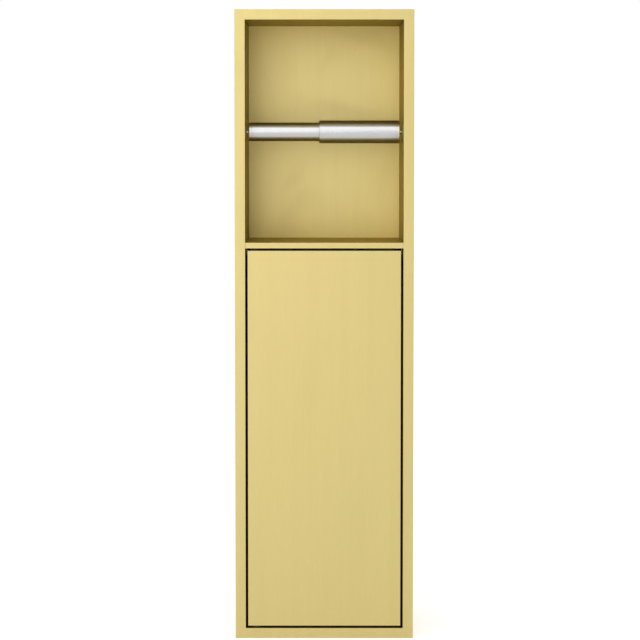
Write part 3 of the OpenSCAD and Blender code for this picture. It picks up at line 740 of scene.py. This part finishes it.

# %% [markdown]
# ## The stop and the latch
# The door closes against an angle on the right-hand wall. Above it hangs the push latch: a
# bracket, a moulded housing, and a plunger with a magnet in its cup. Angle and bracket are
# painted black, a painted shade, because anything bright there would shine through the gap
# round the door.

# %% Stop angle and latch bracket
def angle(name, low, high, faces, **fold):
    """An angle painted black, a painted shade behind the gap: a sheet, whose right-hand edge is
    folded by that much.
    """
    piece = start_sheet(name, low, high, faces)
    wear(piece, black_painted_gap_shade)
    edit()
    pick("EDGE", lambda m, d: near(m.x, high.x))
    pull(**fold)
    done()
    thicken(piece, SHEET)
    round_edges(piece, FOLD)
    return piece


low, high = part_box("door_stop_angle")
stop = angle("door_stop", low, high, "-Y", y=high.y - low.y)
finish(stop, "housing", "door_stop_angle")

EAR_SCREW_IN = 4 * MM
bracket = angle("latch_hanger", bracket_low, bracket_high, "+Z",
                z=bracket_low.z - bracket_high.z)
latch_screw_x = latch_high.x - EAR_SCREW_IN
drill(bracket, "Z", SCREW_HOLE, [(latch_screw_x, y, bracket_high.z - SHEET / 2)
                                 for y in latch_fixing_ys])
drill(bracket, "X", RIVET_HOLE, [(bracket_high.x - SHEET / 2, y, bracket_rivet_z)
                                 for y in latch_fixing_ys])
finish(bracket, "housing", "latch_bracket")

# %% [markdown]
# The latch housing starts as a block. It is cut across where its ears begin and end, the
# faces between those cuts are pulled out sideways, and the plunger's bore is drilled.

# %% Latch housing
EAR_LENGTH, LATCH_WIDTH = 10 * MM, 12 * MM
BORE, BORE_END, LATCH_EDGE = 3.58 * MM, 3 * MM, 0.5 * MM
housing_x = latch_low.x + LATCH_WIDTH
block_high = Vector((housing_x, latch_high.y, latch_high.z))
select_none()
bpy.ops.mesh.primitive_cube_add(size=1, location=(latch_low + block_high) / 2)
latch = bpy.context.object
latch.name = "latch_body"
latch.scale = block_high - latch_low
bpy.ops.object.transform_apply(location=True, rotation=True, scale=True)
wear(latch, nylon)
edit()
for y in latch_fixing_ys:
    for side in (-1, 1):
        slice_at("Y", y + side * EAR_LENGTH / 2)
slice_at("Z", latch_high.z - EAR_HEIGHT)
pick("FACE", lambda m, d: d.x > 0.9 and m.z > latch_high.z - EAR_HEIGHT
     and min(abs(m.y - y) for y in latch_fixing_ys) < EAR_LENGTH / 2 - 0.1 * MM)
pull(x=latch_high.x - housing_x)
pick_all()
bpy.ops.mesh.dissolve_limited(angle_limit=math.radians(1))
done()
round_edges(latch, LATCH_EDGE)
bore_length = latch_high.y - latch_low.y - BORE_END
drill(latch, "Y", BORE, [(latch_x, latch_low.y + bore_length / 2 - 0.5 * MM, latch_z)],
      length=bore_length + MM)
drill(latch, "Z", SCREW_HOLE, [(latch_screw_x, y, latch_high.z - EAR_HEIGHT / 2)
                               for y in latch_fixing_ys], length=6 * MM)
finish(latch, "housing", "latch_housing")

# %% [markdown]
# ## Turned parts
# Tubes, caps, bushes, rivets and studs are all turned on a lathe. In Blender the same thing
# is a spin: a point is extruded along the half-section, and the line is spun round the axis.
# A section that closes on itself makes a ring, and one that starts and ends on the axis
# makes a solid.

# %% A lathe
def radians(*degrees):
    return [math.radians(x) for x in degrees]


def turn(name, along, centre, section, steps=64):
    """Spins a section round an axis through the centre. Each point of the section gives its
    place along X, Y or Z and its distance from the axis, in metres."""
    axis = AXES[along]
    out = AXES["Z" if along != "Z" else "X"]
    centre = Vector(centre)
    line = [centre + (a - centre.dot(axis)) * axis + r * out for a, r in section]
    select_none()
    bpy.ops.mesh.primitive_plane_add(size=MM, location=line[0])
    part = bpy.context.object
    part.name = name
    bpy.ops.object.transform_apply(location=True)
    edit()
    bpy.ops.mesh.select_mode(type="VERT")
    pick_all()
    bpy.ops.mesh.merge(type="CENTER")
    for before, after in zip(line, line[1:]):
        pull(*(after - before))
    pick_all()
    bpy.ops.mesh.spin(steps=steps, angle=2 * math.pi, center=centre, axis=axis)
    pick_all()
    bpy.ops.mesh.remove_doubles(threshold=1e-6)
    bpy.ops.mesh.delete_loose(use_faces=False)
    pick_all()
    bpy.ops.mesh.normals_make_consistent(inside=False)
    done()
    return part


# %% [markdown]
# What the object has several of is modelled once, at the origin and along +Z, and copied to
# its places. Each copy gets a mesh of its own, is turned to face the right way, and has that
# turn applied, so that it ends up at the origin like every other piece.

# %% Copy a part to its places
def place_copies(pattern, places, facing, body, nodes):
    """Copies the pattern and turns its +Z to face each way. The first copies stand for the
    named nodes, one each."""
    for i, place in enumerate(places):
        copy = pattern.copy()
        copy.data = pattern.data.copy()
        copy.name = f"{pattern.name}_{i}"
        scene.collection.objects.link(copy)
        copy.rotation_euler = Vector(facing[i % len(facing)]).to_track_quat("Z", "Y").to_euler()
        copy.location = place
        select_only(copy)
        bpy.ops.object.transform_apply(location=True, rotation=True, scale=True)
        finish(copy, body, nodes[i] if i < len(nodes) else None)
    bpy.data.objects.remove(pattern)


# %% [markdown]
# ## The spindle
# A thin tube slides out of a thick one. Each has a pressed-in cap with a small pin that sits
# in a socket behind the wall. The edges of the caps and of the thick tube's mouth are broken
# by a fine chamfer, which catches the light at the ends. The caps are also a brighter,
# greenish steel, a painted highlight that makes the bright rings there.

# %% The two tubes
TUBE_WALL, MOUTH = 1 * MM, 0.2 * MM
spindle = (0, spindle_y, spindle_z)
thick_r = (thick_high.z - thick_low.z) / 2
mouth_x = thick_low.x
thick = turn("thick_tube_outer", "X", spindle, [
    (thick_high.x, thick_r), (mouth_x + MOUTH, thick_r), (mouth_x, thick_r - MOUTH),
    (mouth_x, thick_r - TUBE_WALL + MOUTH), (mouth_x + MOUTH, thick_r - TUBE_WALL),
    (thick_high.x, thick_r - TUBE_WALL), (thick_high.x, thick_r)], steps=96)
wear(thick, tube_steel)
finish(thick, "spindle_outer", "thick_tube")

thin_low, thin_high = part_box("thin_tube")
thin_r = (thin_high.z - thin_low.z) / 2
thin = turn("thin_tube_inner", "X", spindle, [
    (thin_low.x, thin_r), (thin_high.x, thin_r), (thin_high.x, thin_r - TUBE_WALL),
    (thin_low.x, thin_r - TUBE_WALL), (thin_low.x, thin_r)], steps=96)
wear(thin, tube_steel)
finish(thin, "spindle_inner", "thin_tube")


# %% The two end caps
PIN_R, PIN_CHAMFER = 2 * MM, 0.5 * MM
PLUG_LENGTH, CAP_FLANGE, CAP_RIM, FILLET = 10 * MM, 2 * MM, 0.5 * MM, 0.4 * MM


def end_cap(name, node, way, tube_r, body):
    """A plug, a flange with a rounded rim and a pin, outwards along +X or -X (way)."""
    low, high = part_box(node)
    tip, root = (high.x, low.x) if way > 0 else (low.x, high.x)
    seat = root + way * PLUG_LENGTH
    flange = seat + way * CAP_FLANGE
    plug_r = tube_r - TUBE_WALL - 0.02 * MM
    arc = [(flange - way * CAP_RIM * (1 - math.sin(a)), tube_r - CAP_RIM * (1 - math.cos(a)))
           for a in radians(0, 22.5, 45, 67.5, 90)]
    cap = turn(name, "X", spindle, [
        (root, 0), (root, plug_r), (seat, plug_r), (seat, tube_r), *arc,
        (flange, PIN_R + FILLET), (flange + way * FILLET, PIN_R),
        (tip - way * PIN_CHAMFER, PIN_R), (tip, PIN_R - PIN_CHAMFER), (tip, 0)], steps=96)
    # The cap's brighter, greenish steel paints the highlight of the bright ring at the tube's
    # end
    wear(cap, tube_rim_painted_highlight, pin_steel)
    edit()
    pick("FACE", lambda m, d: math.hypot(m.y - spindle_y, m.z - spindle_z) < PIN_R + 0.1 * MM
         and abs(m.x) > abs(flange))
    give_finish(1)
    done()
    return finish(cap, body, node)


end_cap("thick_cap", "thick_end_cap", 1, thick_r, "spindle_outer")
end_cap("thin_cap", "thin_end_cap", -1, thin_r, "spindle_inner")

# %% [markdown]
# ## Sockets, bushes and the plunger
# These are simple turned or moulded rings. Moulded edges are never sharp, so each gets a
# small round.

# %% Sockets behind the walls
socket_low, socket_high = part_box("right_spindle_socket")
PIN_HOLE, CUP_R, FLANGE_R = 2.08 * MM, 4.5 * MM, 8 * MM
SOCKET_WALL, MOULDED_EDGE = 1.2 * MM, 0.3 * MM
socket_end = socket_high.x - socket_low.x
socket = turn("spindle_socket", "Z", (0, 0, 0), [
    (0, PIN_HOLE), (0, FLANGE_R), (SOCKET_WALL, FLANGE_R), (SOCKET_WALL, CUP_R),
    (socket_end, CUP_R), (socket_end, 0), (socket_end - SOCKET_WALL, 0),
    (socket_end - SOCKET_WALL, PIN_HOLE), (0, PIN_HOLE)])
wear(socket, grey_plastic)
round_edges(socket, MOULDED_EDGE)
place_copies(socket, [(side * socket_low.x, spindle_y, spindle_z) for side in (-1, 1)],
             [(-1, 0, 0), (1, 0, 0)], "housing",
             ["left_spindle_socket", "right_spindle_socket"])

# %% Bushes of the door's pivots
BUSH_FLANGE, BUSH_FLANGE_R = 0.8 * MM, 4.2 * MM
for name, node in (("bush_top", "upper_pivot_bush"), ("bush_bottom", "lower_pivot_bush")):
    low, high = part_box(node)
    if node.startswith("upper"):
        step = low.z + BUSH_FLANGE
        outline = [(low.z, BUSH_FLANGE_R), (step, BUSH_FLANGE_R), (step, BUSH_R),
                   (high.z, BUSH_R)]
    else:
        outline = [(low.z, BUSH_R), (floor_z, BUSH_R), (floor_z, BUSH_FLANGE_R),
                   (high.z, BUSH_FLANGE_R)]
    bush = turn(name, "Z", pivot, [(low.z, PIN_HOLE), *outline, (high.z, PIN_HOLE),
                                   (low.z, PIN_HOLE)], steps=48)
    wear(bush, nylon)
    round_edges(bush, 0.15 * MM, segments=2)
    finish(bush, "housing", node)

# %% Plunger and magnet
plunger_low, plunger_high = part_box("latch_plunger")
magnet_low, magnet_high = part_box("latch_magnet")
MAGNET_R, MAGNET_CUP_R, MAGNET_PLAY, CUP_DEPTH = 3.5 * MM, 4.5 * MM, 0.05 * MM, 3.7 * MM
latch_axis = (latch_x, 0, latch_z)
cup_end = plunger_low.y + CUP_DEPTH
cup_bore = MAGNET_R + MAGNET_PLAY
plunger = turn("plunger", "Y", latch_axis, [
    (plunger_low.y, cup_bore), (plunger_low.y, MAGNET_CUP_R), (cup_end, MAGNET_CUP_R),
    (cup_end, MAGNET_R), (plunger_high.y, MAGNET_R), (plunger_high.y, 0),
    (magnet_high.y, 0), (magnet_high.y, cup_bore), (plunger_low.y, cup_bore)])
wear(plunger, grey_plastic)
round_edges(plunger, 0.25 * MM)
finish(plunger, "latch_plunger", "latch_plunger")

magnet = turn("magnet", "Y", latch_axis, [
    (magnet_low.y, 0), (magnet_low.y, MAGNET_R), (magnet_high.y, MAGNET_R), (magnet_high.y, 0)])
wear(magnet, nickel)
round_edges(magnet, 0.3 * MM)
finish(magnet, "latch_plunger", "latch_magnet")

# %% [markdown]
# ## Small parts on the door
# The strike plate has nipped corners, the bumpers are soft domes, and the thumb stud has a
# knurled knob so that a fingertip can draw it down.

# %% Strike plate
STRIKE_CORNER = 2 * MM
strike = start_sheet("strike", strike_low, strike_high, faces="+Y")
wear(strike, zinc)
edit()
pick_all()
bpy.ops.mesh.bevel(affect="VERTICES", offset=STRIKE_CORNER, segments=5)
done()
thicken(strike, strike_high.y - strike_low.y)
round_edges(strike, CUT_EDGE, segments=2)
strike_y = (strike_low.y + strike_high.y) / 2
drill(strike, "Y", RIVET_HOLE, [(x, strike_y, latch_z) for x in strike_rivet_xs])
finish(strike, "door", "strike_plate")

# %% Soft bumpers
bumper_low, bumper_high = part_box("door_bumpers")
bumper_r = (bumper_high.x - bumper_low.x) / 2
bumper_x = (bumper_high.x + bumper_low.x) / 2
bumper_h = bumper_high.y - bumper_low.y
dome = [(bumper_h * (0.3 + 0.7 * math.sin(a)), bumper_r * math.cos(a) ** 0.6)
        for a in radians(0, 12, 25, 40, 55, 70, 82)]
bumper = turn("soft_bumper", "Z", (0, 0, 0), [(0, 0), (0, bumper_r), *dome, (bumper_h, 0)])
wear(bumper, silicone)
place_copies(bumper, [(bumper_x, bumper_low.y, z) for z in (
                 bumper_low.z + bumper_r, (bumper_low.z + bumper_high.z) / 2,
                 bumper_high.z - bumper_r)],
             [(0, 1, 0)], "door", ["door_bumpers"])

# %% Thumb stud with its knurled knob
THREAD_R, THREAD_LENGTH, NECK_R, KNOB_R = 1.1 * MM, 2.9 * MM, 1.5 * MM, 3 * MM
knob_y = stud_high.y - 3 * MM
neck_y = stud_low.y + THREAD_LENGTH
stud = turn("thumb_knob", "Y", (pivot.x, 0, stud_z), [
    (stud_low.y, 0), (stud_low.y, THREAD_R), (neck_y, THREAD_R), (neck_y, NECK_R),
    (knob_y, NECK_R), (knob_y, KNOB_R - 0.3 * MM), (knob_y + 0.3 * MM, KNOB_R),
    (stud_high.y - 0.5 * MM, KNOB_R), (stud_high.y, KNOB_R - 0.5 * MM), (stud_high.y, 0)],
    steps=48)
wear(stud, pin_steel)
edit()
pick("FACE", lambda m, d: abs(d.y) < 0.1 and m.y > knob_y
     and int(math.degrees(math.atan2(m.z - stud_z, m.x - pivot.x)) // 7.5) % 2 == 0)
bpy.ops.mesh.inset(thickness=0.05 * MM, depth=-0.12 * MM, use_individual=True)
done()
finish(stud, "upper_pin", "thumb_stud")


# %% [markdown]
# ## Rivets and screws
# A blind rivet has a domed head with a dimple, where its mandrel broke off, and a bulb on
# the far side. A pan-head screw has a rounded head with a six-sided socket. Each is
# modelled once, head down at the origin, and copied to its places.

# %% Model one of each
def blind_rivet(name, grip):
    """A rivet along +Z that holds sheets of that total thickness."""
    head, head_r, shank_r = 1.12 * MM, 3.2 * MM, 1.6 * MM
    dimple = 0.7 * MM
    dome = [(-head * math.sin(a), head_r * math.cos(a))
            for a in radians(0, 15, 30, 45, 58)]
    rivet = turn(name, "Z", (0, 0, 0), [
        (grip + 1.92 * MM, 0), (grip + 1.92 * MM, 1.9 * MM), (grip + 0.9 * MM, 2.3 * MM),
        (grip, 2.2 * MM), (grip, shank_r), (0, shank_r), *dome,
        (-head, 1.1 * MM), (-dimple, 0.8 * MM), (-dimple, 0)], steps=40)
    wear(rivet, zinc)
    return rivet


def pan_screw(name, length):
    """A screw along +Z whose shank is that long."""
    head, shank_r, socket_r = 1.65 * MM, 1.5 * MM, 1.05 * MM
    dome = [(-head * math.sin(a), 1.6 * MM + 1.25 * MM * math.cos(a))
            for a in radians(0, 20, 45, 70, 90)]
    screw = turn(name, "Z", (0, 0, 0), [
        (length, 0), (length, 1.1 * MM), (length - 0.4 * MM, shank_r), (0, shank_r),
        *dome, (-head, 0)], steps=40)
    wear(screw, zinc)
    drill(screw, "Z", socket_r, [(0, 0, -head)], length=2 * MM, sides=6)
    return screw


# %% Rivets
place_copies(blind_rivet("shelf_rivet", grip=2 * SHEET),
             [(side * (side_x - SHEET), y, z)
              for y, z in shelf_rivet_places for side in (-1, 1)],
             [(-1, 0, 0), (1, 0, 0)], "housing", ["shelf_rivets"])
place_copies(blind_rivet("bracket_rivet", grip=2 * SHEET),
             [(side_x - SHEET, y, bracket_rivet_z) for y in latch_fixing_ys],
             [(1, 0, 0)], "housing", ["bracket_rivets"])
place_copies(blind_rivet("strike_rivet", grip=strike_high.y - strike_low.y + LINING),
             [(x, strike_high.y, latch_z) for x in strike_rivet_xs],
             [(0, -1, 0)], "door", ["strike_rivets"])

# %% Screws
place_copies(pan_screw("block_screw", length=5.5 * MM),
             [(screw_x, lining_high.y, z) for z in screw_zs],
             [(0, -1, 0)], "door", ["hinge_block_screws"])
place_copies(pan_screw("latch_screw", length=5.7 * MM),
             [(latch_screw_x, y, bracket_high.z) for y in latch_fixing_ys],
             [(0, 0, -1)], "housing", ["latch_screws"])

# %% [markdown]
# ## Springs
# The three springs have closed ends, which means that their first and last turns lie close
# to their neighbours. A Screw modifier winds every turn alike, so the wire is drawn as a
# curve instead, point by point, given a round section and converted to a mesh.

# %% Wind a spring
STEPS = 40  # points in one turn
END_RISE = 0.5 * MM


def coil(name, node, along, wire, turns):
    """A spring with closed ends, wound along X, Y or Z where its solid is."""
    low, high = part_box(node)
    axis, out = AXES[along], AXES["Z" if along != "Z" else "X"]
    length = (high - low).dot(axis) - wire
    radius = (high - low).dot(out) / 2 - wire / 2
    closed = wire + END_RISE
    pitch = (length - 2 * closed) / (turns - 2)
    curve = bpy.data.curves.new(name, "CURVE")
    curve.dimensions = "3D"
    curve.bevel_depth = wire / 2
    curve.bevel_resolution = 3
    curve.use_fill_caps = True
    line = curve.splines.new("POLY")
    line.points.add(turns * STEPS)
    for i, point in enumerate(line.points):
        turned = i / STEPS
        rise = (closed * min(turned, 1) + pitch * min(max(turned - 1, 0), turns - 2)
                + closed * max(turned - turns + 1, 0))
        angle = 2 * math.pi * turned
        arm = radius * (math.cos(angle) * out + math.sin(angle) * axis.cross(out))
        point.co = (*((low + high) / 2 + (rise - length / 2) * axis + arm), 1)
    wound = bpy.data.objects.new(name, curve)
    scene.collection.objects.link(wound)
    select_only(wound)
    bpy.ops.object.convert(target="MESH")
    edit()
    pick_all()
    bpy.ops.mesh.remove_doubles(threshold=1e-6)
    bpy.ops.mesh.normals_make_consistent(inside=False)
    done()
    wear(bpy.context.object, spring_wire)
    return bpy.context.object


# %% [markdown]
# A spring is the one metal part that changes its length. Two of them are pressed together
# as their joint moves, and each rides on the body that holds its fixed end. The latch's
# spring grows longer instead, and here it rides on no body.


collar_spring = finish(coil("pin_coil", "upper_pin_spring", "Z", wire=0.6 * MM, turns=8),
                       "door", "upper_pin_spring")
low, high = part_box("upper_pin_spring")
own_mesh(collar_spring)

inner_spring = finish(coil("spindle_coil", "spindle_spring", "X", wire=1.2 * MM, turns=10),
                      "spindle_outer", "spindle_spring")
low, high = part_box("spindle_spring")
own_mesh(inner_spring)

push_spring = finish(coil("latch_coil", "latch_spring", "Y", wire=0.7 * MM, turns=8),
                     None, "latch_spring")
low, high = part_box("latch_spring")
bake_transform(push_spring)
print("springs wound: 3")

# %% [markdown]
# ## The foam strip
# A soft strip lies in the channel behind the border and seals it against the wall. Its long
# edges swell slightly, so they are rounded more than any metal edge.

# %% Foam strip
seal_low, seal_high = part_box("flange_seal")
SEAL_WIDTH = 4 * MM
seal = start_sheet("foam_strip", seal_low, seal_high, faces="+Y")
wear(seal, foam)
edit()
pick_all()
bpy.ops.mesh.inset(thickness=SEAL_WIDTH)
bpy.ops.mesh.delete(type="FACE")
done()
thicken(seal, seal_high.y - seal_low.y)
round_edges(seal, 0.8 * MM, segments=4)
finish(seal, "housing", "flange_seal")

# %% [markdown]
# ## Parts that keep the solid's own shape
# The hinge pins, the blocks and the parts inside the tubes are already what they should be,
# so they keep their mesh and only receive a finish.

# %% Finishes for the remaining solids
KEPT = {
    "lower_hinge_pin": black_pin, "upper_hinge_pin": black_pin,
    "upper_hinge_block": block_metal, "lower_hinge_block": block_metal,
    "door_stiffener": zinc, "spring_grub_screw": zinc, "spring_seat": zinc,
    "sliding_ring": nylon,
}
for name, material in KEPT.items():
    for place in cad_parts[name].material_slots:
        place.material = material
unfinished = [n for n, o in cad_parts.items() if n not in KEPT and not o.hide_render]
print("solids that keep their shape:", len(KEPT), "- still without a finish:", unfinished)

# %% [markdown]
# ## The solid's box
# The dressed pieces are drawn to the solid model's sizes, and that model's box is printed.
# The dressed object has to stay inside the solid model's box.

# %% Measure and finish
print("solid box", [[round(x, 4) for x in v] for v in cad_box])
